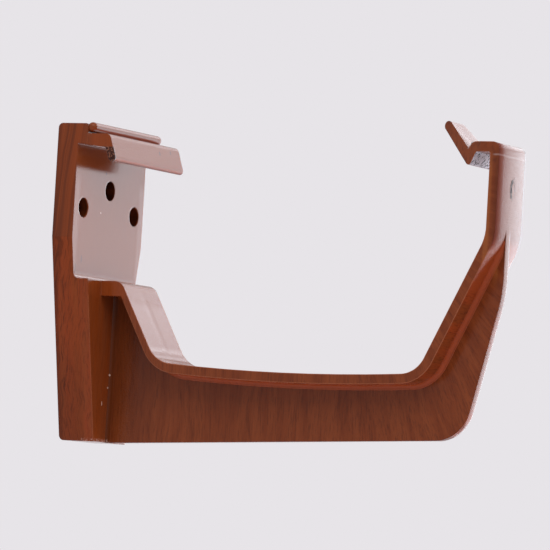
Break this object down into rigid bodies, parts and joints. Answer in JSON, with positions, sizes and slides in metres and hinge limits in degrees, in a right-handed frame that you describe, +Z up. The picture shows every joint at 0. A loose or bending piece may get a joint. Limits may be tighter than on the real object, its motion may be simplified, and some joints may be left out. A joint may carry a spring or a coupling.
{
  "type": "gutter bracket",
  "caption": "Wall-fixed gutter fascia bracket with a webbed cradle strap, a rear retaining clip and a front snap clip for a square-line gutter.",
  "frame": {"origin": "on the wall plane, at the middle of the plate's width and at the height of the two side screws", "axes": "+X across the bracket's width, -Y straight out from the wall towards the front of the gutter, +Z up"},
  "size_m": [0.038, 0.1225, 0.0863],
  "materials": {
    "pvc": "satin, brown with a streaky wood-grain effect"
  },
  "bodies": {
    "root": {"bracket": "pvc"}
  },
  "joints": []
}
